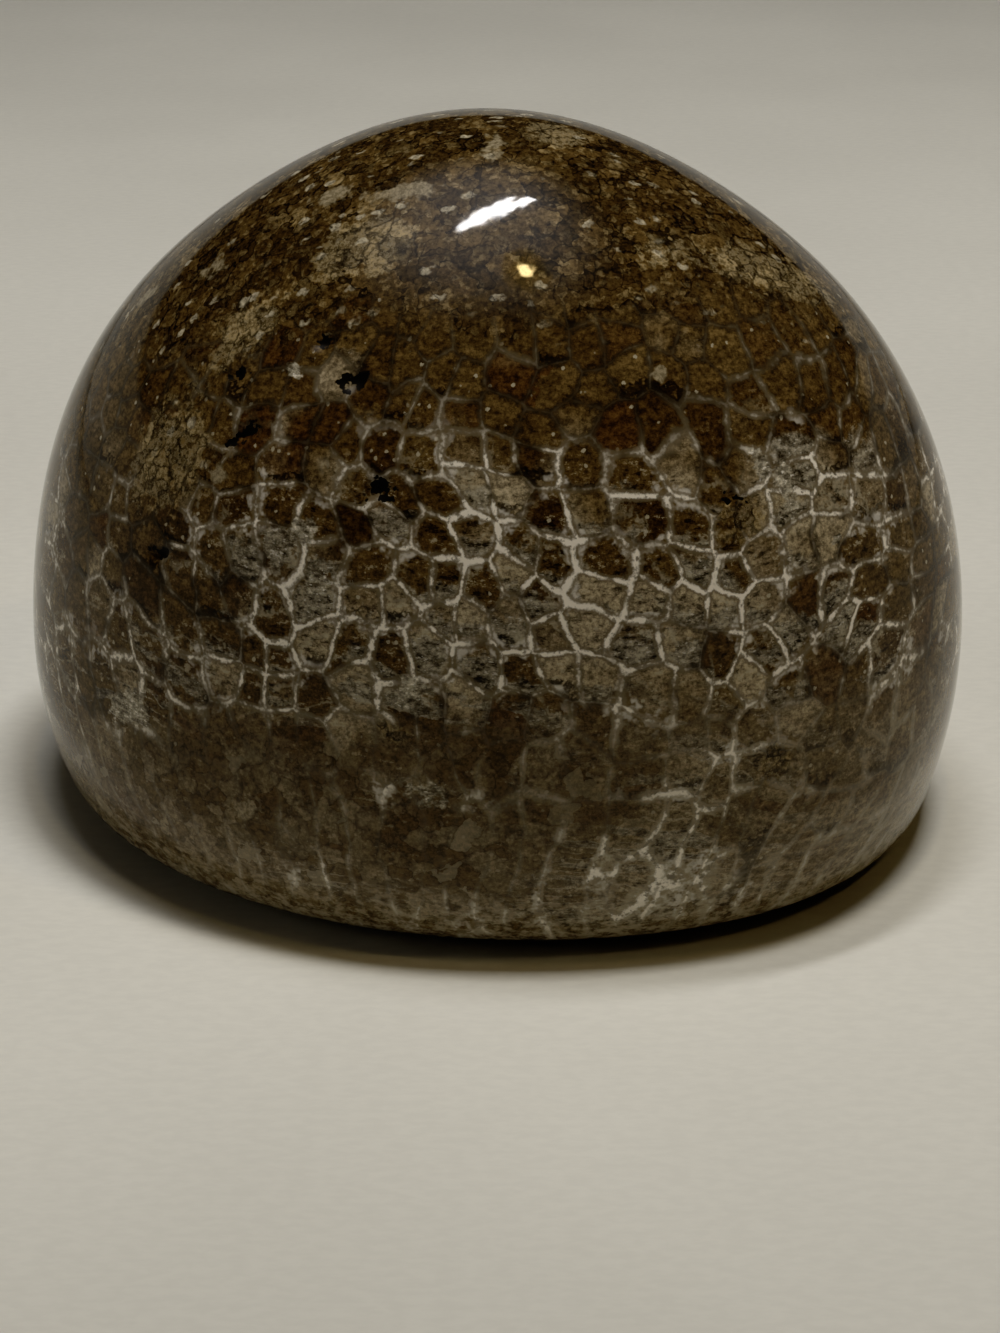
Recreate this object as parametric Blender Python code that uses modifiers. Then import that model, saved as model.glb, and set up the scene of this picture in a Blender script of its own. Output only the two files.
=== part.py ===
"""A piece of fossil coral, polished all over and ground flat underneath so that it stands.

The stone is one solid. It is turned from a smooth profile, pressed into an oval, made a
little fuller where the polishing left it so, and then twisted and swayed off its own axis.
"""

from math import atan2, cos, exp, hypot, pi, radians, sin

import bmesh
import bpy

MM = 0.001

# The oval plan at the stone's widest level
HALF_WIDTH = 36.0 * MM
HALF_DEPTH = 28.8 * MM
PLAN_TWIST = radians(-12.9)

# The profile's cage, each corner a share of the half width and a height. The profile is
# its uniform cubic B-spline: a flat base, a tight heel, a steep side and a domed crown.
BASE_CAGE = [(0.40, 0.0), (0.62, 0.0), (0.945, 0.0)]
SIDE_CAGE = [(0.970, 3.0 * MM), (1.010, 10.0 * MM), (1.006, 20.0 * MM), (0.918, 31.0 * MM)]
SHOULDER = (0.708, 42.0 * MM)
CROWN_RING = (0.313, 51.2 * MM)
CROWN = (0.0, 53.4 * MM)

# The axis sways along X as it rises: linear, square and cubic shares of the sway height
SWAY_HEIGHT = 50.0 * MM
SWAY = (-0.37 * MM, 1.60 * MM, -1.11 * MM)

# Fuller places: azimuth from +X towards +Y, height, amount, spread round the stone in
# radians, and spread in height. A negative amount is a flatter place.
SWELLS = {
    "left_heel": (radians(-118), 8 * MM, 1.30 * MM, 0.52, 9 * MM),
    "right_heel": (radians(-40), 10.5 * MM, 1.25 * MM, 0.28, 9.5 * MM),
    "front_shoulder": (radians(-90), 40 * MM, -0.25 * MM, 0.60, 10 * MM),
    "left_shoulder": (radians(180), 36 * MM, 0.25 * MM, 0.60, 10 * MM),
    "back_flat": (radians(70), 24 * MM, -0.70 * MM, 0.50, 12 * MM),
    "back_swell": (radians(125), 15 * MM, 0.60 * MM, 0.40, 10 * MM),
}

TURN_STEPS = 96
POINTS_PER_SPAN = 5
MERGE_DISTANCE = 0.01 * MM


def clear_scene():
    for obj in list(bpy.data.objects):
        bpy.data.objects.remove(obj, do_unlink=True)


def b_spline(cage, points_per_span):
    """Points of the uniform cubic B-spline of a cage, evenly spaced in its parameter."""
    points = []
    spans = len(cage) - 3
    for i in range(spans * points_per_span + 1):
        span = min(i // points_per_span, spans - 1)
        t = i / points_per_span - span
        weights = ((1 - t) ** 3, 3 * t**3 - 6 * t**2 + 4, -3 * t**3 + 3 * t**2 + 3 * t + 1, t**3)
        corners = cage[span : span + 4]
        points.append(tuple(sum(w * c[k] for w, c in zip(weights, corners)) / 6 for k in (0, 1)))
    return points


def profile_points():
    """The profile from the crown down its outer side to the centre of the base."""
    past_crown = (-CROWN_RING[0], CROWN_RING[1])
    cage = [*BASE_CAGE, *SIDE_CAGE, SHOULDER, CROWN_RING, CROWN, past_crown]
    upwards = [(0.0, 0.0), *b_spline(cage, POINTS_PER_SPAN)]
    return [(share * HALF_WIDTH, height) for share, height in reversed(upwards)]


def turned_blank():
    """The round blank: the profile turned once about Z."""
    points = profile_points()
    edges = [(i, i + 1) for i in range(len(points) - 1)]
    outline = bpy.data.meshes.new("profile")
    outline.from_pydata([(r, 0.0, z) for r, z in points], edges, [])
    lathe = bpy.data.objects.new("lathe", outline)
    bpy.context.scene.collection.objects.link(lathe)
    turn = lathe.modifiers.new("turn", "SCREW")
    turn.axis = "Z"
    turn.angle = 2 * pi
    turn.steps = turn.render_steps = TURN_STEPS
    turn.use_merge_vertices = True
    turn.merge_threshold = MERGE_DISTANCE
    evaluated = lathe.evaluated_get(bpy.context.evaluated_depsgraph_get())
    blank = bpy.data.meshes.new_from_object(evaluated)
    bpy.data.objects.remove(lathe)
    return blank


def swell_at(azimuth, height):
    """How much fuller the stone is there: the sum of the soft round swells."""
    total = 0.0
    for at, level, amount, spread, rise in SWELLS.values():
        around = exp((cos(azimuth - at) - 1) / spread**2)
        total += amount * around * exp(-(((height - level) / rise) ** 2))
    return total


def sway_at(height):
    """How far the axis has moved along X at that height."""
    u = height / SWAY_HEIGHT
    return SWAY[0] * u + SWAY[1] * u**2 + SWAY[2] * u**3


def worked_point(x, y, z):
    """Where a point of the round blank ends up: pressed oval, swelled, twisted and swayed."""
    share = hypot(x, y) / HALF_WIDTH
    azimuth = atan2(y, x)
    swell = swell_at(azimuth, z)
    across = share * (HALF_WIDTH + swell) * cos(azimuth)
    along = share * (HALF_DEPTH + swell) * sin(azimuth)
    twisted_x = across * cos(PLAN_TWIST) - along * sin(PLAN_TWIST)
    twisted_y = across * sin(PLAN_TWIST) + along * cos(PLAN_TWIST)
    return twisted_x + sway_at(z), twisted_y, z


def work_stone(mesh):
    """Works the blank into the stone and centres its plan on the origin."""
    work = bmesh.new()
    work.from_mesh(mesh)
    bmesh.ops.remove_doubles(work, verts=work.verts, dist=MERGE_DISTANCE)
    for vert in work.verts:
        vert.co = worked_point(*vert.co)
    middle = [(min(v.co[k] for v in work.verts) + max(v.co[k] for v in work.verts)) / 2 for k in (0, 1)]
    for vert in work.verts:
        vert.co.x -= middle[0]
        vert.co.y -= middle[1]
    bmesh.ops.recalc_face_normals(work, faces=work.faces)
    work.to_mesh(mesh)
    work.free()


def polished_coral_material():
    """Brown fossil coral under a high polish."""
    material = bpy.data.materials.new("polished_coral")
    material.use_nodes = True
    shader = material.node_tree.nodes["Principled BSDF"]
    shader.inputs["Base Color"].default_value = (0.060, 0.040, 0.020, 1.0)
    shader.inputs["Roughness"].default_value = 0.12
    shader.inputs["Metallic"].default_value = 0.0
    return material


def coral_stone(collection):
    """The whole object, standing on its ground face at the origin."""
    mesh = turned_blank()
    mesh.name = "coral_stone"
    work_stone(mesh)
    mesh.materials.clear()
    mesh.materials.append(polished_coral_material())
    mesh.shade_smooth()
    stone = bpy.data.objects.new("coral_stone", mesh)
    collection.objects.link(stone)
    return stone


def main():
    clear_scene()
    collection = bpy.data.collections.new("polished_fossil_coral")
    bpy.context.scene.collection.children.link(collection)
    coral_stone(collection)


main()
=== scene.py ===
"""A polished fossil coral on a pale floor, under one soft strip of light."""

from math import cos, pi, radians, sin

import bpy
import numpy as np
from mathutils import Matrix, Vector


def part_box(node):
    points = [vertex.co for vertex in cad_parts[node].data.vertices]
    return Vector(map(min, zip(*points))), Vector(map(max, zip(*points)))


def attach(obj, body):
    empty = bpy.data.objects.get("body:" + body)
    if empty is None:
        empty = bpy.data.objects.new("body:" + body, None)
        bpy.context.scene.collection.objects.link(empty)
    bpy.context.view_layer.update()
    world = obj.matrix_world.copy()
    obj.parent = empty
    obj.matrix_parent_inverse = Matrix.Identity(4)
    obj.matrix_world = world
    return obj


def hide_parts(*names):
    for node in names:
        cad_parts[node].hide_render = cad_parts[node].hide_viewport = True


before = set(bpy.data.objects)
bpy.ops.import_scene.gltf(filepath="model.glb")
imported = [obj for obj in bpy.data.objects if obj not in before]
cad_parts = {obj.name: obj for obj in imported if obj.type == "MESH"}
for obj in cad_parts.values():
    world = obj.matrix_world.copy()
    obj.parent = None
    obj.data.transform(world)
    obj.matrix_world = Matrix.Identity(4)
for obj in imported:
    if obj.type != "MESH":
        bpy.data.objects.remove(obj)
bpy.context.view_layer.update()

MM = 0.001

# The stone's shape, as it is ground: the same values as its solid
HALF_WIDTH, HALF_DEPTH = 36.0, 28.8
PLAN_TWIST = radians(-12.9)
PROFILE_CAGE = np.array([
    (0.40, 0.0), (0.62, 0.0), (0.945, 0.0), (0.970, 3.0), (1.010, 10.0), (1.006, 20.0),
    (0.918, 31.0), (0.708, 42.0), (0.313, 51.2), (0.0, 53.4), (-0.313, 51.2),
])
SWAY_HEIGHT = 50.0
SWAY = (-0.37, 1.60, -1.11)
# Fuller places: azimuth in degrees, height, amount, spread round the stone in radians, and
# spread in height
SWELLS = {
    "left_heel": (-118, 8.0, 1.30, 0.52, 9.0),
    "right_heel": (-40, 10.5, 1.25, 0.28, 9.5),
    "front_shoulder": (-90, 40.0, -0.25, 0.60, 10.0),
    "left_shoulder": (180, 36.0, 0.25, 0.60, 10.0),
    "back_flat": (70, 24.0, -0.70, 0.50, 12.0),
    "back_swell": (125, 15.0, 0.60, 0.40, 10.0),
}
TURNS = 460
SIDE_ROWS = 196
BASE_ROWS = 10
FINE_STEPS = 4000

# The hollows: the mark's value at their edge, and the depth in mm for each unit above it
DENT_EDGE = 0.35
DENT_DEPTH = 0.6

# The room, as the polish mirrors it: pale low down, dark overhead, a glow round each lamp. The
# reaches are the heights at which the pale part ends, and the cosines at which a glow does.
HORIZON = (0.330, 0.320, 0.290)
CEILING = (0.010, 0.009, 0.008)
PALE_BEHIND = (0.25, 0.21)
PALE_IN_FRONT = (0.40, -0.05)
BEHIND = (0.1, 0.4)
STRIP_DIRECTION = (-0.120, 0.110, 0.987)
STRIP_GLOW = (1.7, 1.7, 1.8)
STRIP_REACH = (0.84, 1.0)
LAMP_DIRECTION = (0.024, -0.134, 0.991)
LAMP_GLOW = (1.0, 0.76, 0.38)
LAMP_REACH = (0.9945, 0.9997)

# The camera, and the photograph's contrast as points of a curve
CAMERA_PITCH = radians(27.0)
CAMERA_AIM = Vector((0.733, 17.197, 0.0)) * MM
CAMERA_DISTANCE = 206.3 * MM
CAMERA_NEAR = 10 * MM
LENS = 63.52
SENSOR = 36.0
PHOTO_WIDTH, PHOTO_HEIGHT = 1000, 1333
TOE = [(0.02, 0.004), (0.05, 0.025), (0.10, 0.072), (0.20, 0.175), (0.45, 0.445)]

# The beds of the stone by their level in mm: matrix on top, then faint cells, a band of
# bright cells, and smoother coral below
BED_DIP = (-0.07, 0.4, 1.0)
BED_ORIGIN_Y = -25.0
BED_LEVELS = (0, 8, 16, 18.5, 22, 28, 32, 36, 39, 45)
WALL_STRENGTH = (0.425, 0.2975, 0.323, 0.6375, 0.8075, 0.85, 0.748, 0.561, 0.391, 0.255)
CRYSTAL_SHARE = (0.20, 0.144, 0.20, 0.44, 0.48, 0.36, 0.224, 0.08, 0.032, 0.016)
BRIGHT_CRYSTALS = 0.85
WALL_LIMITS = (0.05, 1.6)
MATRIX_LEVEL, MATRIX_RISE = 41.5, 9.0
SMOOTH_LEVEL, SMOOTH_FALL = 19.5, 4.0

# Marks: the pixel of the photograph that each one is seen at, its half length and half width
# in mm, its tilt in degrees, and how strong it is. MARK_FALL is how fast one fades outwards.
MARK_FALL = 0.7
TAN_PATCHES = {
    "left_lobe": (340, 250, 2.1, 1.6, 80, 1.0),
    "right_lobe": (389, 244, 2.2, 1.9, 70, 1.0),
    "shoulder_patch": (246, 330, 3.2, 2.0, 60, 0.9),
    "side_patch": (168, 458, 3.8, 4.2, 0, 1.0),
    "right_shoulder": (800, 285, 4.5, 2.0, -45, 0.8),
    "crown_right": (650, 255, 2.4, 2.4, 0, 0.48),
    "right_network": (738, 268, 3.4, 2.0, -35, 0.52),
    "crown_patch": (555, 133, 2.2, 2.2, 0, 0.9),
    "cells_right": (742, 520, 2.4, 2.2, 20, 0.7),
    "low_olive": (774, 762, 1.5, 1.8, 20, 0.8),
    "low_triangle": (393, 736, 1.7, 0.8, -20, 0.8),
}
PALE_SHELLS = {
    "long_shell": (385, 196, 2.8, 0.8, 20, 0.7),
    "shell_left": (330, 194, 1.8, 0.9, 50, 0.9),
    "shell_right": (418, 186, 1.6, 0.7, 20, 0.7),
    "rim_shells": (144, 297, 1.6, 0.7, 60, 1.0),
    "side_shells": (213, 266, 1.6, 1.2, 40, 0.7),
    "crown_beads": (493, 147, 1.0, 2.0, 0, 0.8),
    "low_fragment": (243, 812, 1.2, 1.0, 0, 0.9),
    "low_flake": (601, 863, 0.9, 0.6, 0, 1.0),
    # Partly painted glint: a pale bead, made brighter still to stand for light glinting off its
    # crystal facets
    "pale_bead_glint": (658, 376, 0.55, 0.5, 0, 1.2),
    "side_bead": (219, 475, 0.7, 0.6, 0, 1.2),
}
BRIGHT_BEDS = {
    "centre_cells": (545, 540, 5.8, 4.0, 0, 1.0),
    "left_cells": (296, 520, 3.0, 2.2, -35, 0.5),
    "right_cells": (705, 590, 4.6, 3.4, 0, 0.6),
    "right_upper": (800, 485, 2.4, 2.6, 0, 0.6),
    "left_rungs": (250, 640, 4.0, 1.4, 0, 0.45),
    "left_heel_rungs": (128, 702, 2.4, 1.2, 25, 0.6),
    "middle_rungs": (455, 665, 7.0, 2.8, 0, 0.75),
    "low_middle": (415, 795, 3.6, 1.3, 0, 0.6),
    "low_right": (640, 860, 6.0, 2.8, 10, 0.50),
    "right_fan": (720, 775, 5.0, 3.0, 20, 0.50),
    "heel_veins": (330, 880, 5.0, 1.6, -10, 0.3),
    "heel_edge": (600, 918, 7.0, 1.4, 5, 0.9),
    "right_side": (865, 640, 2.5, 3.2, 0, 0.3),
    "upper_calm": (600, 420, 6.0, 2.6, 0, -0.40),
    "left_edge_calm": (80, 560, 2.5, 5.0, 0, -0.6),
    "right_edge_calm": (925, 560, 2.5, 5.0, 0, -0.6),
    "left_calm": (150, 590, 3.4, 3.0, 0, -0.5),
    "low_left_calm": (235, 745, 5.0, 2.6, 0, -0.5),
    "low_middle_calm": (450, 850, 4.0, 2.2, 0, -0.5),
}
# Hollows: shallow dents whose black is painted shade
HOLLOWS = {
    "above_cells": (325, 339, 1.1, 0.6, 20, 1.0),
    "beside_cells": (357, 380, 1.1, 0.9, 40, 1.0),
    "left_hollow": (237, 373, 1.0, 0.5, 30, 1.0),
    "wedge": (242, 433, 1.4, 0.6, 35, 1.0),
    "centre_left": (378, 491, 1.1, 0.9, 0, 1.0),
    "left_side": (157, 556, 1.1, 0.6, 25, 1.0),
    "right_hollow": (733, 495, 0.9, 0.5, -20, 0.9),
}
CRYSTAL_SPOTS = {
    "junction": (294, 369, 0.8, 0.6, -30, 1.0),
    "grey_cell": (307, 531, 1.1, 1.0, 0, 1.0),
    "left_blob": (318, 585, 1.0, 1.0, 0, 1.0),
    "left_triangles": (128, 708, 2.6, 1.6, 25, 0.9),
    "right_triangle": (762, 462, 0.8, 1.2, 10, 0.9),
    "right_blob": (787, 473, 0.6, 0.9, 0, 1.1),
    "bright_cell": (793, 508, 0.9, 1.2, 0, 0.8),
    "ladder_patch": (413, 692, 1.6, 1.2, 0, 0.9),
    "low_specks": (430, 795, 2.0, 1.0, 0, 0.8),
}


def spline(cage, t):
    """Uniform cubic B-spline of a cage at the parameters t: four neighbouring corners, weighted
    by cubics in t."""
    span = np.minimum(t.astype(int), len(cage) - 4)
    u = (t - span)[:, None]
    weights = ((1 - u) ** 3, 3 * u**3 - 6 * u**2 + 4, -3 * u**3 + 3 * u**2 + 3 * u + 1, u**3)
    return sum(w * cage[span + k] for k, w in enumerate(weights)) / 6


def profile_rows():
    """The side's profile at evenly spaced arc lengths, after rows that cross the flat base."""
    fine = spline(PROFILE_CAGE, np.linspace(0, len(PROFILE_CAGE) - 3, FINE_STEPS))
    steps = np.linalg.norm(np.diff(fine * (HALF_WIDTH, 1.0), axis=0), axis=1)
    length = np.append(0.0, np.cumsum(steps))
    even = np.linspace(0, length[-1], SIDE_ROWS)
    side = np.column_stack([np.interp(even, length, fine[:, k]) for k in (0, 1)])
    inner = np.linspace(0, side[0, 0], BASE_ROWS, endpoint=False)
    base = np.column_stack([inner, np.zeros(BASE_ROWS)])
    return np.vstack([base, side])


def stone_points():
    """The stone in mm on a grid of profile row and azimuth: the profile's share of the half
    width and half depth, each plus the sum of the round swells, twisted in plan, swayed along
    X by a cubic of the height, and centred."""
    profile = profile_rows()
    share, z = profile[:, :1], profile[:, 1:]
    azimuth = np.linspace(0, 2 * pi, TURNS, endpoint=False)[None, :]
    swell = np.zeros((len(profile), TURNS))
    for at, level, amount, spread, rise in SWELLS.values():
        around = np.exp((np.cos(azimuth - radians(at)) - 1) / spread**2)
        swell += amount * around * np.exp(-(((z - level) / rise) ** 2))
    across = share * (HALF_WIDTH + swell) * np.cos(azimuth)
    along = share * (HALF_DEPTH + swell) * np.sin(azimuth)
    u = z / SWAY_HEIGHT
    sway = SWAY[0] * u + SWAY[1] * u**2 + SWAY[2] * u**3
    x = across * cos(PLAN_TWIST) - along * sin(PLAN_TWIST) + sway
    y = across * sin(PLAN_TWIST) + along * cos(PLAN_TWIST)
    grid = np.stack([x, y, np.broadcast_to(z, x.shape)], axis=-1)
    grid[..., :2] -= (grid[..., :2].min(axis=(0, 1)) + grid[..., :2].max(axis=(0, 1))) / 2
    return grid


def outward(grid):
    """Unit normals: the cross product of the steps round and up the grid."""
    round_step = np.roll(grid, -1, 1) - np.roll(grid, 1, 1)
    up_step = np.gradient(grid, axis=0)
    normal = np.cross(round_step, up_step)
    return normal / (np.linalg.norm(normal, axis=-1, keepdims=True) + 1e-9)


def spot_under(pixel, grid, normals):
    """The grid's row and turn under a pixel of the photograph: the point nearest to the
    camera's line through that pixel, among those that face the camera."""
    ahead = np.array((0.0, cos(CAMERA_PITCH), -sin(CAMERA_PITCH)))
    up = np.array((0.0, sin(CAMERA_PITCH), cos(CAMERA_PITCH)))
    eye = (np.array(CAMERA_AIM) - ahead * CAMERA_DISTANCE) / MM
    reach = LENS / SENSOR * PHOTO_HEIGHT
    right_step, up_step = pixel[0] - PHOTO_WIDTH / 2, PHOTO_HEIGHT / 2 - pixel[1]
    line = ahead * reach + np.array((right_step, 0.0, 0.0)) + up * up_step
    line /= np.linalg.norm(line)
    offset = grid - eye
    away = np.linalg.norm(np.cross(offset, line), axis=-1)
    away[(normals * offset).sum(axis=-1) > 0] = np.inf
    return np.unravel_index(away.argmin(), away.shape)


def marked(grid, normals, marks):
    """The sum of round-topped ellipses in the surface: each falls as a Gaussian of the offset
    along its length, across it and off the surface, in shares of its half sizes."""
    total = np.zeros(grid.shape[:2])
    for x, y, half_length, half_width, tilt, strength in marks.values():
        at = spot_under((x, y), grid, normals)
        normal = normals[at]
        level = np.cross((0.0, 0.0, 1.0), normal)
        level /= np.linalg.norm(level)
        rise = np.cross(normal, level)
        turn = radians(tilt)
        offset = grid - grid[at]
        along = offset @ (level * cos(turn) + rise * sin(turn)) / half_length
        across = offset @ (rise * cos(turn) - level * sin(turn)) / half_width
        off = offset @ normal / half_length
        total += strength * np.exp(-MARK_FALL * (along**2 + across**2 + off**2))
    return total


def bed_fields(grid, normals):
    """Four shares over the stone, from the level of its dipping beds: matrix, wall strength,
    crystal share, and the smooth low coral. Bright beds add to the middle two."""
    level = grid @ BED_DIP - BED_DIP[1] * BED_ORIGIN_Y
    matrix = np.clip((level - MATRIX_LEVEL) / MATRIX_RISE, 0, 1)
    bright = marked(grid, normals, BRIGHT_BEDS)
    walls = np.clip(np.interp(level, BED_LEVELS, WALL_STRENGTH) + bright, *WALL_LIMITS)
    crystals = np.interp(level, BED_LEVELS, CRYSTAL_SHARE) + bright * BRIGHT_CRYSTALS
    smooth = np.clip((SMOOTH_LEVEL - level) / SMOOTH_FALL, 0, 1)
    return np.stack([matrix, walls, crystals, smooth], axis=-1)


def grid_faces(rows, turns):
    """Quads between neighbouring rows of a closed grid, and a fan of triangles at each pole."""
    ring = np.arange(turns)
    following = (ring + 1) % turns
    low = 1 + np.arange(rows - 1)[:, None] * turns
    high = low + turns
    quads = np.stack([low + ring, low + following, high + following, high + ring], axis=-1)
    last = 1 + (rows - 1) * turns
    top = last + turns
    bottom_fan = np.column_stack([np.zeros(turns, int), 1 + following, 1 + ring])
    top_fan = np.column_stack([np.full(turns, top), last + ring, last + following])
    return quads.reshape(-1, 4).tolist() + bottom_fan.tolist() + top_fan.tolist()


def drawn_in(field):
    """A grid's values as a list, with its first and last rows drawn in to one pole each."""
    between_poles = field[1:-1].reshape(-1, field.shape[-1])
    return np.concatenate([field[:1, 0], between_poles, field[-1:, 0]])


def lay_field(mesh, name, field):
    """Keeps four values a point on the mesh, for the material to read."""
    layer = mesh.attributes.new(name, "FLOAT_COLOR", "POINT")
    layer.data.foreach_set("color", drawn_in(field).astype(np.float32).ravel())


def polished_stone():
    """The polished surface: the stone's grid with its poles closed, and dents at the hollows."""
    grid = stone_points()
    normals = outward(grid)
    kinds = (TAN_PATCHES, PALE_SHELLS, HOLLOWS, CRYSTAL_SPOTS)
    marks = np.stack([marked(grid, normals, kind) for kind in kinds], axis=-1)
    hollow = marks[..., 2:3]
    dent = np.clip(hollow - DENT_EDGE, 0, 1 - DENT_EDGE) * DENT_DEPTH
    points = drawn_in(grid - normals * dent) * MM
    low, high = (np.array(corner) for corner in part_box("coral_stone"))
    points *= np.minimum((high - low) / (points.max(axis=0) - points.min(axis=0)), 1.0)
    mesh = bpy.data.meshes.new("polished_coral_stone")
    mesh.from_pydata(points, [], grid_faces(len(grid) - 2, TURNS))
    mesh.shade_smooth()
    lay_field(mesh, "beds", bed_fields(grid, normals))
    lay_field(mesh, "marks", marks)
    mesh.update()
    piece = bpy.data.objects.new("polished_coral_stone", mesh)
    bpy.context.scene.collection.objects.link(piece)
    return piece


class Field:
    """The output of a node. Arithmetic on it adds a Math or a Vector Math node."""

    def __init__(self, pattern, socket):
        self.pattern, self.socket = pattern, socket

    def joined(self, operation, first, second):
        """The two values in one node, which works on vectors if either of them is one."""
        fields = [value for value in (first, second) if isinstance(value, Field)]
        spread = any(field.socket.type in ("VECTOR", "RGBA") for field in fields)
        kind = "VectorMath" if spread else "Math"
        return self.pattern.node(kind, [first, second], operation=operation)

    def __add__(self, other):
        return self.joined("ADD", self, other)

    def __sub__(self, other):
        return self.joined("SUBTRACT", self, other)

    def __rsub__(self, other):
        return self.joined("SUBTRACT", other, self)

    def __mul__(self, other):
        return self.joined("MULTIPLY", self, other)

    def __truediv__(self, other):
        return self.joined("DIVIDE", self, other)


class Pattern:
    """Writes a material's nodes as formulas: each call adds a node and gives its output."""

    def __init__(self, material):
        self.tree = material.node_tree

    def node(self, kind, values=(), output=0, **settings):
        """Adds one node, with values for its sockets in order or by name."""
        made = self.tree.nodes.new("ShaderNode" + kind)
        for name, setting in settings.items():
            setattr(made, name, setting)
        for key, value in values.items() if isinstance(values, dict) else enumerate(values):
            self.feed(made.inputs[key], value)
        if isinstance(output, tuple):
            return [Field(self, made.outputs[name]) for name in output]
        return Field(self, made.outputs[output])

    def feed(self, socket, value):
        """Links a field to a socket, or sets the socket to a plain value."""
        if isinstance(value, Field):
            self.tree.links.new(value.socket, socket)
        elif socket.type == "VECTOR" and not isinstance(value, tuple):
            socket.default_value = (value, value, value)
        elif socket.type == "RGBA":
            socket.default_value = (*value, 1.0)
        else:
            socket.default_value = value

    def maths(self, operation, *values):
        """One Math node."""
        return self.node("Math", values, operation=operation)

    def noise(self, at, per_mm, detail=2.0, roughness=0.5):
        """Smooth clouds from 0 to 1, about 0.5 on average."""
        values = {"Vector": at, "Scale": per_mm, "Detail": detail, "Roughness": roughness}
        return self.node("TexNoise", values)

    def drift(self, at, per_mm, reach, detail=0.0):
        """A smooth random offset in mm, up to about the reach each way."""
        values = {"Vector": at, "Scale": per_mm, "Detail": detail}
        return (self.node("TexNoise", values, output=1) - 0.5) * (2.0 * reach)

    def fade(self, value, start, end, low=0.0, high=1.0):
        """Goes smoothly from low to high as the value goes from start to end."""
        values = [value, start, end, low, high]
        return self.node("MapRange", values, interpolation_type="SMOOTHSTEP")

    def mix(self, share, first, second):
        """The first colour, with that share of the second."""
        return self.node("Mix", {0: share, 6: first, 7: second}, output=2, data_type="RGBA")

    def grains(self, at, size, output=("Distance", "Color"), randomness=1.0, **settings):
        """Random cells of about that size in mm. Distances are in shares of the size."""
        values = {"Vector": at, "Scale": 1.0 / size, "Randomness": randomness}
        return self.node("TexVoronoi", values, output=output, **settings)

    def length(self, *parts):
        """The length of the vector that has those parts."""
        return self.node("VectorMath", [self.vector(*parts)], output=1, operation="LENGTH")

    def dot(self, first, second):
        """The dot product of two vectors."""
        return self.node("VectorMath", [first, second], output=1, operation="DOT_PRODUCT")

    def parts(self, vector):
        """The three parts of a vector or a colour."""
        return self.node("SeparateXYZ", [vector], output=("X", "Y", "Z"))

    def vector(self, *parts):
        """The vector that has those three parts."""
        return self.node("CombineXYZ", parts)

    def fourfold(self, name):
        """The four values a point that the mesh keeps under that name."""
        colour, fourth = self.node("Attribute", output=("Color", "Alpha"), attribute_name=name)
        return [*self.parts(colour), fourth]


# The coral's tubes, in mm: their width and how random it is, the level that they bend at, how
# much lower that is at the right and between which X it falls, the ring that they bend about,
# how they fan out, and how long a chamber is
TUBE_WIDTH = 2.80
TUBE_RANDOMNESS = 0.64
TUBE_BEND_LEVEL = 9.0
BEND_DROP = 5.0
BEND_FALLS = (-8.0, 26.0)
TUBE_RING = 38.0
BEND_RADIUS = 14.0
FAN_SPREAD = 1.30
FAN_TOP = 24.0
CHAMBER_LENGTH = 0.80

# The way round the stone: its oval, its mean radius, how closely it follows the oval from one
# azimuth in radians to another, where it starts, its scale, and how far it is shifted by
# level at the back, between two values of Y and in clouds for each mm
OVAL = 0.83
ROUND_RADIUS = 30.0
OVAL_FOLLOWED = (0.9, 2.2, 0.6, 0.1)
ROUND_START = 4.6
ROUND_SCALE = 0.98
BACK_SHIFT = 26.0
BACK_REACH = (2.0, 16.0)
BACK_CLOUDS = 0.09

# Clumps of mud, slanting shell grit and fine grains, in mm, and how the streaks are layered
CLUMP_WIDTH = 1.5
GRIT_WIDTH = 1.5
GRIT_SLANT = (0.3, 0.5, 0.2)
GRIT_STRETCH = (1.0, 1.9, 1.5)
FINE_GRAIN = 0.45
LAYERING = (1.0, 1.0, 2.3)

# The polish: its refraction, least and most roughness, and the height in m of its soft waves
POLISH_IOR = 1.36
POLISH_ROUGHNESS = (0.030, 0.060)
WAVE_HEIGHT = 0.04 * MM

# Noises: clouds for each mm, detail and roughness
GRAIN = (2.6, 3.0, 0.78)
WOBBLE = (1.2, 2.0, 0.68)
PATCHES = (0.26, 2.0, 0.55)
STREAKS = (0.85, 3.0, 0.75)
POLISH_WAVES = (0.9, 1.0)

# The bends in the coral and in the clumps: clouds for each mm, reach in mm, and detail
WIDE_BEND = (0.11, 1.6)
CLOSE_BEND = (0.45, 0.4)
CLUMP_BEND = (0.6, 1.1, 2.0)


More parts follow.
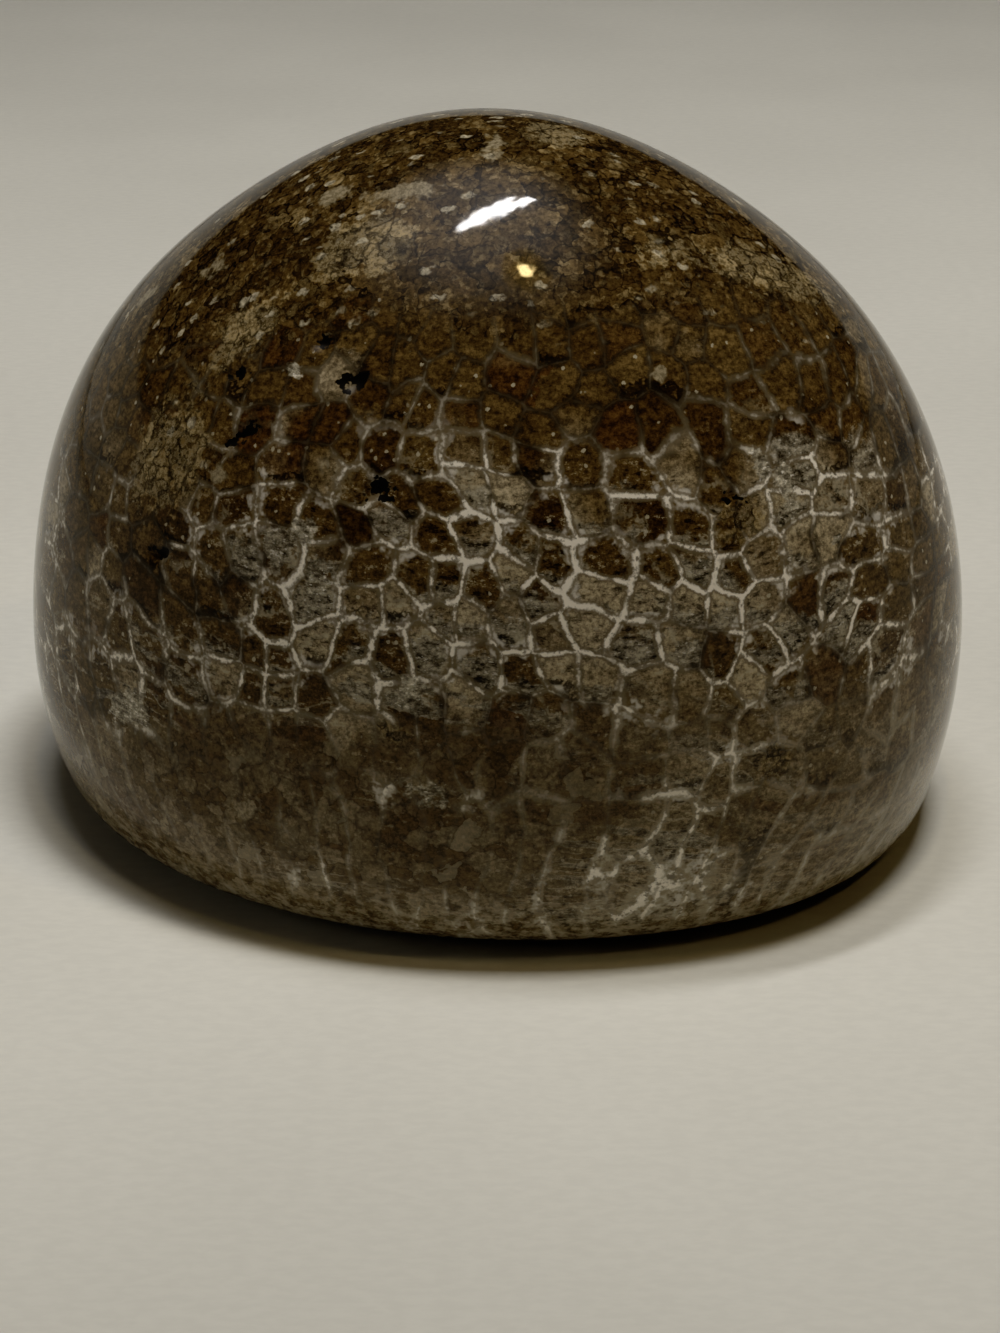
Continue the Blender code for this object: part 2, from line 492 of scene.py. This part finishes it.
def tube_coordinates(p, place):
    """Coordinates in mm that follow the coral's tubes: round the stone, across the tubes, and
    along them. The tubes stand upright up to the bend level and then turn outwards about a ring
    round the stone, so the polish cuts them lengthwise below and across above. Also the
    distance from the back seam, where the way round the stone begins and ends."""
    x, y, z = p.parts(place + p.drift(place, *WIDE_BEND) + p.drift(place, *CLOSE_BEND))
    by_level = p.noise(p.vector(0.0, 0.0, z), BACK_CLOUDS) - 0.5
    x = x + p.fade(y, *BACK_REACH) * by_level * BACK_SHIFT
    oval = p.length(x * OVAL, y, 0.0)
    azimuth = p.maths("ARCTAN2", x, y * -1.0)
    fan = p.node("MapRange", [z, 0.0, FAN_TOP, 1.0, FAN_SPREAD])
    bend_level = p.fade(x, *BEND_FALLS, TUBE_BEND_LEVEL, TUBE_BEND_LEVEL - BEND_DROP)
    follow = p.fade(p.maths("ABSOLUTE", azimuth), *OVAL_FOLLOWED)
    radius = follow * (oval - ROUND_RADIUS) + ROUND_RADIUS
    round_stone = (azimuth * radius + ROUND_START) / fan * (FAN_SPREAD * ROUND_SCALE)
    inwards = TUBE_RING - oval
    above = p.maths("MAXIMUM", z - bend_level, 0.0)
    across = p.length(inwards, above, 0.0)
    bend = p.maths("ARCTAN2", above, inwards)
    along = bend * BEND_RADIUS + p.maths("MINIMUM", z - bend_level, 0.0)
    seam = p.maths("ABSOLUTE", x) + p.fade(y, 0.0, -4.0) * 9.0
    return round_stone, across, along, seam


# Tones of the stone
MUD = (0.120, 0.084, 0.039)
LOW_CORAL = (0.285, 0.238, 0.160)
DARK_MUD = (0.068, 0.043, 0.018)
RED_MUD = (0.098, 0.060, 0.026)
OLIVE = (0.172, 0.125, 0.060)
EARTH = (0.090, 0.062, 0.028)
TAN = (0.255, 0.200, 0.112)
PALE_FILL = (0.450, 0.385, 0.270)
DARK_GREY = (0.085, 0.072, 0.050)
GREY = (0.350, 0.320, 0.250)
CRYSTAL = (0.760, 0.720, 0.640)
SOFT_WALL = (0.215, 0.180, 0.122)
LOW_WALL = (0.420, 0.372, 0.275)
FAINT_WALL = (0.190, 0.165, 0.120)
BRIGHT_WALL = (0.900, 0.840, 0.725)
PALE_HEEL = (0.480, 0.430, 0.325)
SHELL = (0.430, 0.385, 0.285)
BLACK = (0.010, 0.008, 0.005)


def crystal_tone(p, layered, streaks, grain):
    """Clear and cloudy calcite: grey, with level streaks, dark gaps, and bright specks that are
    painted glints of its crystal facets.
    """
    bright_bits = p.noise(layered + 37.0, 2.6, 1.0)
    tone = p.mix(p.fade(streaks, 0.34, 0.60), DARK_GREY, GREY)
    tone = p.mix(p.fade(streaks, 0.58, 0.72) * 0.35, tone, CRYSTAL)
    tone = tone * p.fade(grain, 0.30, 0.70, 0.5, 1.4)
    # Painted glints: bright specks of crystal colour stand for light glinting off the calcite's
    # facets
    return p.mix(p.fade(bright_bits + (streaks - 0.5) * 0.4, 0.66, 0.72) * 0.6, tone, CRYSTAL)


def chamber_tone(p, lot, chance, crystals, noises, speck, low_share):
    """The mud in one chamber: reddish, brown, dark or olive by its lot, paler in some tubes
    where there is crystal about, and pale in the low coral. Grain, streaks and specks over it."""
    grain, _, patchy, streaks = noises
    tone = p.mix(p.fade(lot, 0.04, 0.16), RED_MUD, MUD)
    tone = p.mix(p.fade(lot, 0.55, 0.75) * 0.75, tone, DARK_MUD)
    tone = p.mix(p.fade(lot, 0.76, 0.95) * 0.6, tone, OLIVE)
    paleness = crystals * 0.8 + (chance - 0.76) * 1.5 + (patchy - 0.5)
    tone = p.mix(p.fade(paleness, 0.05, 0.72) * 0.75, tone, PALE_FILL)
    tone = p.mix(low_share * p.fade(lot, 0.1, 0.9, 0.35, 1.0), tone, LOW_CORAL)
    tone = tone * p.fade(grain, 0.28, 0.72, 0.50, 1.55) * p.fade(streaks, 0.32, 0.68, 0.70, 1.35)
    return p.mix(speck, tone, SHELL)


def calm_coral(p, chance, noises, clumps):
    """The smooth low coral: soft blotches by clump, thin dark joints and a few pale flakes."""
    grain, wobble, patchy, streaks = noises
    (first_lot, second_lot, _), joints = clumps
    blotch = patchy + (first_lot - 0.5) * 0.40 + (chance - 0.5) * 0.15
    tone = p.mix(p.fade(blotch, 0.22, 0.82), MUD, LOW_CORAL) * p.fade(grain, 0.3, 0.7, 0.65, 1.35)
    tone = tone * p.fade(joints + (wobble - 0.5) * 0.4, 0.0, 0.12, 0.55, 1.0)
    tone = p.mix(p.fade(second_lot, 0.93, 0.97) * 0.45, tone, SHELL)
    return p.mix(p.fade(streaks + (grain - 0.5) * 0.4, 0.61, 0.70) * 0.4, tone, SHELL)


def tabulae(p, fill, step, strength, noises):
    """Thin level floors across the tubes, and broken level streaks, where the walls are bright."""
    grain, wobble, _, streaks = noises
    crossing = 1.0 - p.fade(p.maths("PINGPONG", step, 0.5), 0.02, 0.12)
    lively = p.fade(strength, 0.25, 0.9)
    tabula = crossing * lively * p.fade(wobble, 0.40, 0.55)
    fill = p.mix(tabula * 0.6, fill, SHELL)
    fill = fill * p.fade(streaks + (1.0 - lively), 0.34, 0.45, 0.45, 1.0)
    dashes = p.fade(streaks + (grain - 0.5) * 0.5, 0.58, 0.68)
    return p.mix(dashes * lively * 0.75, fill, SHELL)


def walled(p, fill, edge, centre_distance, strength, low_coral, smooth, noises):
    """Walls round the fill: a dark margin, crystal in the corners, a soft lining and a core
    that is bright where the wall is strong."""
    grain, wobble, patchy, _ = noises
    half = strength * 0.08 + (wobble - 0.5) * 0.42 - 0.05
    wall = 1.0 - p.fade(edge, half - 0.02, half + 0.17)
    lining = p.fade(edge, half + 0.38, half + 0.20)
    shade = p.fade(strength, 0.25, 0.8, 0.38, 0.80)
    shade = shade + low_coral * 0.9 * (1.0 - shade)
    fill = fill * p.fade(edge, half + 0.10, half + 0.50, shade, 1.0)
    corner = p.fade(centre_distance + (wobble - 0.5) * 0.35, 0.46, 0.60)
    corner_tone = p.mix(p.fade(wobble, 0.40, 0.62), OLIVE, CRYSTAL)
    fill = p.mix(corner * p.fade(strength, 0.3, 0.8) * 0.7, fill, corner_tone)
    lining_tone = p.mix(low_coral, SOFT_WALL, LOW_WALL)
    lining_share = p.fade(strength + (patchy - 0.5) * 0.8, 0.10, 0.7, 0.10, 0.75)
    tone = p.mix(lining * lining_share * (1.0 - smooth * 0.6), fill, lining_tone)
    shine = strength * p.fade(wobble + (grain - 0.5) * 0.6, 0.36, 0.64, 0.25, 1.5)
    wall_tone = p.mix(p.fade(shine, 0.05, 1.2), FAINT_WALL, BRIGHT_WALL)
    return p.mix(wall * p.fade(strength, 0.10, 0.9, 0.25, 1.0), tone, wall_tone)


def corallites(p, place, beds, noises, clumps, crystal, speck):
    """The coral's cells: filled tubes between pale walls, crossed by thin tabulae. Low down
    they give way to calm coral, and the heel is paler."""
    _, walls, crystals, low_coral = beds
    grain, wobble, patchy, streaks = noises
    round_stone, across, along, seam = tube_coordinates(p, place)
    flat = p.vector(round_stone, across, 0.0)
    plan = {"voronoi_dimensions": "2D", "randomness": TUBE_RANDOMNESS}
    outputs = ("Distance", "Color", "Position")
    centre_distance, tint, centre = p.grains(flat, TUBE_WIDTH, output=outputs, **plan)
    plan["feature"] = "DISTANCE_TO_EDGE"
    edge = p.grains(flat, TUBE_WIDTH, output=("Distance",), **plan)[0] * TUBE_WIDTH
    edge = edge + (grain - 0.5) * 0.45
    chance, second_chance, third_chance = p.parts(tint)
    x, _, z = p.parts(place)
    smooth = low_coral * p.fade(x + (patchy - 0.5) * 20.0, 14.0, -4.0, 0.35, 1.0)

    step = (along + chance * 7.0 + wobble * 0.5) / CHAMBER_LENGTH
    chamber = p.vector(chance, second_chance, p.maths("FLOOR", step))
    lots = p.node("TexWhiteNoise", {"Vector": chamber}, output=1, noise_dimensions="3D")
    lot, crystal_lot, level_lot = p.parts(lots)
    fill = chamber_tone(p, lot, second_chance, crystals, noises, speck, low_coral - smooth)
    lift = (across - p.parts(centre)[1]) / TUBE_WIDTH + (wobble - 0.5) * 0.8
    low_part = p.fade(lift + (level_lot - 0.45) * 0.9, 0.10, -0.10)
    lined = p.fade(crystal_lot - crystals, 0.03, -0.03) * p.fade(walls, 0.2, 0.9, 0.35, 0.85)
    fill = p.mix(low_part * lined, fill, crystal)
    # Painted shade: a black crescent at the low edge of some cells stands for the shade inside
    # small voids
    painted_void_shade = p.fade(lift, -0.28, -0.36) * p.fade(third_chance, 0.66, 0.70) * p.fade(wobble, 0.36, 0.46)
    fill = p.mix(painted_void_shade * 0.75, fill, BLACK)
    fill = p.mix(smooth * 0.75, fill, calm_coral(p, chance, noises, clumps))

    strength = walls * p.fade(patchy, 0.34, 0.60, 0.30, 1.25)
    fill = tabulae(p, fill, step, strength, noises)
    tone = walled(p, fill, edge, centre_distance, strength, low_coral, smooth, noises)
    tone = p.mix(p.fade(seam, 0.7, 0.2) * 0.8, tone, DARK_MUD)
    heel = p.fade(z + (patchy - 0.5) * 8.0, 8.0, 1.0)
    veins = p.fade(streaks + (wobble - 0.5) * 0.7, 0.38, 0.66, 0.10, 0.75)
    return p.mix(heel * veins, tone, PALE_HEEL)


def mud_clumps(p, place, loose):
    """Three random lots for each clump of mud, and about how far in mm its nearest joint is."""
    clump = loose + p.drift(place, *CLUMP_BEND)
    nearest, tint = p.grains(clump, CLUMP_WIDTH)
    second = p.grains(clump, CLUMP_WIDTH, output=("Distance",), feature="F2")[0]
    return p.parts(tint), (second - nearest) * (0.5 * CLUMP_WIDTH)


def granular_matrix(p, loose, clumps, matrix, noises, ragged, fine_lots, tan):
    """Mud with shell grit: clumps of brown and tan with dark joints between them, smaller
    grains of many tones, and long pale shell bits."""
    grain, _, patchy, _ = noises
    (clump_lot, clump_other, clump_shade), joints = clumps
    fine_lot, fine_other, _ = fine_lots
    values = {"Vector": loose, "Rotation": GRIT_SLANT, "Scale": GRIT_STRETCH}
    grit, grit_tint = p.grains(p.node("Mapping", values), GRIT_WIDTH)
    lot, other_lot, _ = p.parts(grit_tint)
    in_mud = p.fade(matrix, 0.6, 1.0, -0.42, -0.12)
    tan_chance = clump_lot * 0.40 + patchy * 1.1 + tan * 1.15 + in_mud
    tone = p.mix(p.fade(tan_chance, 0.70, 1.10), EARTH, OLIVE)
    tone = p.mix(p.fade(tan_chance + lot * 0.4, 1.15, 1.65) * 0.8, tone, TAN)
    tone = p.mix(p.fade(fine_lot + (grain - 0.5) * 0.6, 0.66, 0.95) * 0.42, tone, TAN)
    tone = p.mix(p.fade(fine_other, 0.70, 0.9) * 0.30, tone, BLACK)
    tone = tone * p.fade(clump_shade, 0.0, 1.0, 0.65, 1.3)
    bits = p.fade(other_lot, 0.82, 0.86) * p.fade(grit + (grain - 0.5) * 0.3, 0.42, 0.26)
    tone = p.mix(bits * 0.8, tone, SHELL) * p.fade(grain, 0.30, 0.70, 0.50, 1.60)
    bright_bits = p.fade(p.maths("ABSOLUTE", grain - 0.53), 0.030, 0.004)
    tone = p.mix(bright_bits * p.fade(tan_chance, 0.8, 1.3) * 0.5, tone, SHELL)
    joint = p.fade(joints, 0.16, 0.0) * p.fade(clump_other + ragged, 0.40, 0.65)
    crack = p.fade(joints + (grain - 0.5) * 0.2, 0.09, 0.03) * tan
    return p.mix(p.maths("MAXIMUM", joint * 0.75, crack * 0.5), tone, BLACK)


def coral_material():
    """The whole stone: coral and mud by bed, the marks over them with painted shade in the hollows
    and a painted glint on one bead, and a high polish.
    """
    material = bpy.data.materials.new("polished_coral")
    material.use_nodes = True
    p = Pattern(material)
    place = p.node("TexCoord", output="Object") * (1.0 / MM)
    beds = p.fourfold("beds")
    tan, pale, hollow, white = p.fourfold("marks")
    grain = p.noise(place, *GRAIN)
    wobble = p.noise(place, *WOBBLE)
    patchy = p.noise(place, *PATCHES)
    layered = place * LAYERING
    streaks = p.noise(layered, *STREAKS)
    noises = (grain, wobble, patchy, streaks)
    ragged = (wobble - 0.5) * 1.4
    fine, fine_tint = p.grains(place + (grain - 0.5) * 0.3, FINE_GRAIN)
    fine_lots = p.parts(fine_tint)
    speck = p.fade(fine_lots[2], 0.955, 0.975) * p.fade(fine, 0.40, 0.25)

    crystal = crystal_tone(p, layered, streaks, grain)
    loose = place + ragged * 0.6
    clumps = mud_clumps(p, place, loose)
    cells = corallites(p, place, beds, noises, clumps, crystal, speck)
    tan_share = p.fade(tan + ragged * 0.8, 0.30, 0.75)
    matrix = beds[0]
    mud = granular_matrix(p, loose, clumps, matrix, noises, ragged, fine_lots, tan_share)
    muddy = p.fade(matrix + ragged * 0.7 + (patchy - 0.5) * 1.2, 0.30, 0.80)
    in_matrix = p.maths("MAXIMUM", muddy, tan_share)
    tone = p.mix(in_matrix, cells, mud)

    tone = p.mix(p.fade(white + ragged, 0.45, 0.70) * 0.9, tone, crystal * 1.4)
    shell = p.mix(grain, TAN, SHELL) * p.fade(grain, 0.35, 0.65, 0.7, 1.2)
    tone = p.mix(p.fade(pale + ragged, 0.44, 0.80) * 0.8, tone, shell)
    # Painted shade: the hollows are dented only a little, and the black in them is painted shade
    pit = p.fade(hollow + ragged * 1.5, 0.62, 0.74)
    tone = p.mix(pit, tone, BLACK)

    shader = material.node_tree.nodes["Principled BSDF"]
    shader.inputs["IOR"].default_value = POLISH_IOR
    polish = p.fade(grain, 0.35, 0.75, *POLISH_ROUGHNESS)
    p.feed(shader.inputs["Base Color"], tone)
    p.feed(shader.inputs["Roughness"], polish + pit * 0.5 + in_matrix * 0.02)
    height = p.noise(place, *POLISH_WAVES)
    waves = {"Strength": 0.25, "Distance": WAVE_HEIGHT, "Height": height}
    p.feed(shader.inputs["Normal"], p.node("Bump", waves))
    return material


PALE_FLOOR = (0.765, 0.755, 0.690)
FLOOR_HALF = 0.5
# Painted shade: the floor's colour falls from full to 0.86 between Y -30 mm and -80 mm, in place of
# the lamps' falloff towards the camera
FLOOR_PAINTED_FALLOFF = (-30.0, -80.0, 1.0, 0.86)


def floor_material():
    """A matt pale sheet with faint clouds and fibres, and painted shade that makes it a little
    darker towards the camera.
    """
    material = bpy.data.materials.new("pale_floor")
    material.use_nodes = True
    shader = material.node_tree.nodes["Principled BSDF"]
    p = Pattern(material)
    place = p.node("TexCoord", output="Object") * (1.0 / MM)
    cloud = p.noise(place, 0.02, 3.0, 0.5)
    fibre = p.noise(place * (0.4, 1.0, 1.0), 1.6, 2.0, 0.6)
    # Painted shade: darker towards the camera, standing in for the lamps' falloff
    painted_falloff = p.fade(p.parts(place)[1], *FLOOR_PAINTED_FALLOFF)
    shade = painted_falloff * p.fade(cloud, 0.3, 0.7, 0.97, 1.02) * p.fade(fibre, 0.3, 0.7, 0.975, 1.02)
    tone = p.node("VectorMath", [PALE_FLOOR, shade], operation="MULTIPLY")
    p.feed(shader.inputs["Base Color"], tone)
    p.feed(shader.inputs["Roughness"], p.fade(fibre, 0.3, 0.7, 0.62, 0.78))
    shader.inputs["Specular IOR Level"].default_value = 0.2
    return material


def pale_floor():
    """A flat square floor through the plane that the stone stands on."""
    half = FLOOR_HALF
    corners = [(-half, -half, 0), (half, -half, 0), (half, half, 0), (-half, half, 0)]
    mesh = bpy.data.meshes.new("floor")
    mesh.from_pydata(corners, [], [(0, 1, 2, 3)])
    mesh.materials.append(floor_material())
    floor = bpy.data.objects.new("floor", mesh)
    bpy.context.scene.collection.objects.link(floor)


CROWN = (0.0, -0.011, 0.049)
ALONG_X = (1.0, 0.0, 0.0)
ALONG_Y = (0.0, 1.0, 0.0)

# Lamps, in metres: the place, what it faces, the direction of its long side, the two sizes,
# watts, colour, shape, and whether the polish mirrors it
LAMPS = {
    "strip": (
        (-0.034, 0.067, 0.592), CROWN, (0.153, 0.091, 0.0), (0.195, 0.036),
        0.8, (1.0, 0.98, 0.97), "ELLIPSE", True,
    ),
    "overhead": (
        (0.10, 0.0, 0.62), CROWN, ALONG_X, (0.12, 0.07),
        1.5, (1.0, 0.98, 0.96), "RECTANGLE", False,
    ),
    "warm_side": (
        (0.30, -0.12, 0.50), CROWN, ALONG_X, (0.05, 0.05),
        0.16, (1.0, 0.78, 0.42), "RECTANGLE", False,
    ),
    "warm_lamp": (
        (0.014, -0.082, 0.541), (0.002, -0.015, 0.046), ALONG_X, (0.026, 0.026),
        0.09, (1.0, 0.74, 0.34), "DISK", True,
    ),
    "left_fill": (
        (-0.45, -0.06, 0.16), CROWN, ALONG_Y, (0.30, 0.12),
        0.16, (1.0, 0.97, 0.92), "RECTANGLE", False,
    ),
}


def area_light(name, place, aim, along, size, watts, colour, shape, mirrored):
    """One lamp that faces aim, with its long side in the direction along."""
    light = bpy.data.lights.new(name, "AREA")
    light.shape = shape
    light.size, light.size_y = size
    light.energy = watts
    light.color = colour
    back = (Vector(place) - Vector(aim)).normalized()
    side = back.cross(Vector(along)).normalized()
    lamp = bpy.data.objects.new(name, light)
    lamp.matrix_world = Matrix((side.cross(back), side, back)).transposed().to_4x4()
    lamp.location = place
    lamp.visible_glossy = mirrored
    bpy.context.scene.collection.objects.link(lamp)


def tone_curve(view):
    """The photograph's contrast: shadows fall away below a soft toe."""
    view.view_transform = "Standard"
    view.use_curve_mapping = True
    curve = view.curve_mapping.curves[3]
    for place in TOE:
        curve.points.new(*place)
    view.curve_mapping.update()


def dim_room():
    """The surroundings that the polish mirrors. They cast no light of their own on matt faces."""
    world = bpy.data.worlds.new("dim_room")
    world.use_nodes = True
    world.cycles_visibility.diffuse = False
    bpy.context.scene.world = world
    p = Pattern(world)
    direction = p.node("TexCoord", output="Generated")
    _, behind, rise = p.parts(direction)
    low_behind = p.fade(rise, *PALE_BEHIND)
    low_in_front = p.fade(rise, *PALE_IN_FRONT)
    low = low_in_front + (low_behind - low_in_front) * p.fade(behind, *BEHIND)
    glow = p.mix(low, CEILING, HORIZON)
    near_strip = p.fade(p.dot(direction, STRIP_DIRECTION), *STRIP_REACH)
    glow = p.mix(p.maths("POWER", near_strip, 2.0), glow, STRIP_GLOW)
    near_lamp = p.fade(p.dot(direction, LAMP_DIRECTION), *LAMP_REACH)
    glow = p.mix(near_lamp, glow, LAMP_GLOW)
    p.feed(world.node_tree.nodes["Background"].inputs["Color"], glow)


def studio():
    """The room, the lamps and the photograph's contrast."""
    tone_curve(bpy.context.scene.view_settings)
    dim_room()
    for name, lamp in LAMPS.items():
        area_light(name, *lamp)


def camera():
    """The camera looks along +Y and down, as the photograph was taken."""
    data = bpy.data.cameras.new("view")
    data.lens = LENS
    data.sensor_width = SENSOR
    data.clip_start = CAMERA_NEAR
    eye = bpy.data.objects.new("view", data)
    ahead = Vector((0.0, cos(CAMERA_PITCH), -sin(CAMERA_PITCH)))
    eye.location = CAMERA_AIM - ahead * CAMERA_DISTANCE
    eye.rotation_euler = (pi / 2 - CAMERA_PITCH, 0.0, 0.0)
    bpy.context.scene.collection.objects.link(eye)
    bpy.context.scene.camera = eye


stone = polished_stone()
stone.data.materials.append(coral_material())
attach(stone, "root")
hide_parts("coral_stone")
pale_floor()
studio()
camera()
